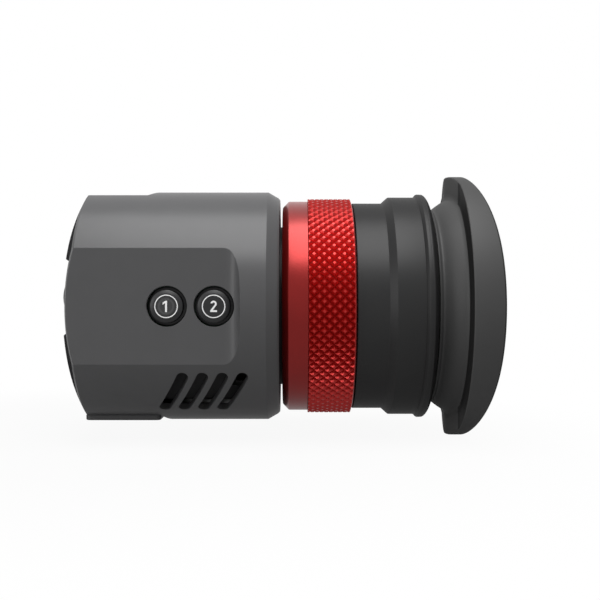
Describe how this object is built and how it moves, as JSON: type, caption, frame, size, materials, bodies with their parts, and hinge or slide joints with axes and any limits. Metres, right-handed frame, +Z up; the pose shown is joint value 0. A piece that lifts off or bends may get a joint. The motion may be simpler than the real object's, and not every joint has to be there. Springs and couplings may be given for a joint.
{
  "type": "electronic viewfinder",
  "caption": "Round electronic viewfinder with side buttons, a menu knob, a red focus ring on a helical drive, a sliding eyepiece and a rubber eyecup.",
  "frame": {"origin": "mouth of the tripod thread in the plate under the body", "axes": "+X along the optical axis toward the eye, +Y away from the side with the two buttons, +Z up"},
  "size_m": [0.1124, 0.0692, 0.0692],
  "materials": {
    "body_paint": "satin",
    "cover_paint": "satin",
    "knob_plastic": "matte",
    "button_plastic": "matte",
    "red_anodise": "anodised",
    "black_anodise": "anodised",
    "soft_rubber": "matte",
    "seal_rubber": "matte",
    "pad_silicone": "matte",
    "screw_steel": "blackened",
    "turned_steel": "machined",
    "socket_steel": "pressed",
    "inner_plastic": "moulded",
    "board_laminate": "solder mask",
    "chip_plastic": "moulded",
    "flex_film": "film",
    "sink_aluminium": "extruded",
    "standoff_brass": "machined",
    "panel_glass": "polished",
    "lens_glass": "polished"
  },
  "bodies": {
    "body": {"housing": "body_paint", "base_plate": "body_paint", "front_cover": "cover_paint", "eyepiece_tube": "black_anodise", "ring_retainer": "black_anodise", "ring_seal": "seal_rubber", "thermal_pad": "pad_silicone", "cover_screws": "screw_steel", "knob_board_screws": "screw_steel", "plate_screws": "screw_steel", "button_board_screws": "screw_steel", "sink_screws": "screw_steel", "carrier_screws": "screw_steel", "clamp_screws": "screw_steel", "board_screws": "screw_steel", "tube_screws": "screw_steel", "base_insert": "turned_steel", "top_insert": "turned_steel", "picture_socket": "socket_steel", "power_socket": "socket_steel", "encoder_body": "inner_plastic", "board_link": "inner_plastic", "switches": "inner_plastic", "picture_tongue": "inner_plastic", "power_tongue": "inner_plastic", "display_carrier": "inner_plastic", "panel_clamp": "inner_plastic", "flex_plug": "inner_plastic", "knob_board": "board_laminate", "button_board": "board_laminate", "main_board": "board_laminate", "socket_board": "board_laminate", "processor": "chip_plastic", "memory_chips": "chip_plastic", "display_flex": "flex_film", "heat_sink": "sink_aluminium", "standoffs": "standoff_brass", "display_panel": "panel_glass", "display_glass": "lens_glass"},
    "focus": {"focus_ring": "red_anodise"},
    "eyepiece": {"eyepiece_barrel": "black_anodise", "follower_pins": "turned_steel", "field_lens": "lens_glass", "lens_spacer": "black_anodise", "crown_lens": "lens_glass", "flint_lens": "lens_glass", "lens_retainer": "black_anodise", "eye_lens": "lens_glass", "eyepiece_bezel": "black_anodise"},
    "cup": {"eyecup": "soft_rubber"},
    "button_1": {"button_1_cap": "button_plastic"},
    "button_2": {"button_2_cap": "button_plastic"},
    "knob_push": {"push_slider": "inner_plastic"},
    "knob": {"menu_knob": "knob_plastic", "encoder_shaft": "turned_steel"}
  },
  "joints": [
    {"name": "focus_turn", "type": "hinge", "parent": "body", "child": "focus", "pos_m": [0.05, 0, 0.0297], "axis": [1, 0, 0], "range_deg": [0, 162]},
    {"name": "eyepiece_slide", "type": "slide", "parent": "body", "child": "eyepiece", "axis": [1, 0, 0], "range_m": [0, 0.006]},
    {"name": "eyecup_turn", "type": "hinge", "parent": "eyepiece", "child": "cup", "pos_m": [0.088, 0, 0.0297], "axis": [1, 0, 0], "continuous": true},
    {"name": "button_1_press", "type": "slide", "parent": "body", "child": "button_1", "axis": [0, 1, 0], "range_m": [0, 0.0005], "stiffness_N_per_m": 2000},
    {"name": "button_2_press", "type": "slide", "parent": "body", "child": "button_2", "axis": [0, 1, 0], "range_m": [0, 0.0005], "stiffness_N_per_m": 2000},
    {"name": "knob_press", "type": "slide", "parent": "body", "child": "knob_push", "axis": [1, 0, 0], "range_m": [0, 0.0006], "stiffness_N_per_m": 3000},
    {"name": "knob_turn", "type": "hinge", "parent": "knob_push", "child": "knob", "pos_m": [-0.0109, 0, 0.032], "axis": [1, 0, 0], "continuous": true}
  ],
  "couplings": [
    {"joint": "eyepiece_slide", "follows": "focus_turn", "m_per_rad": 0.002122}
  ]
}
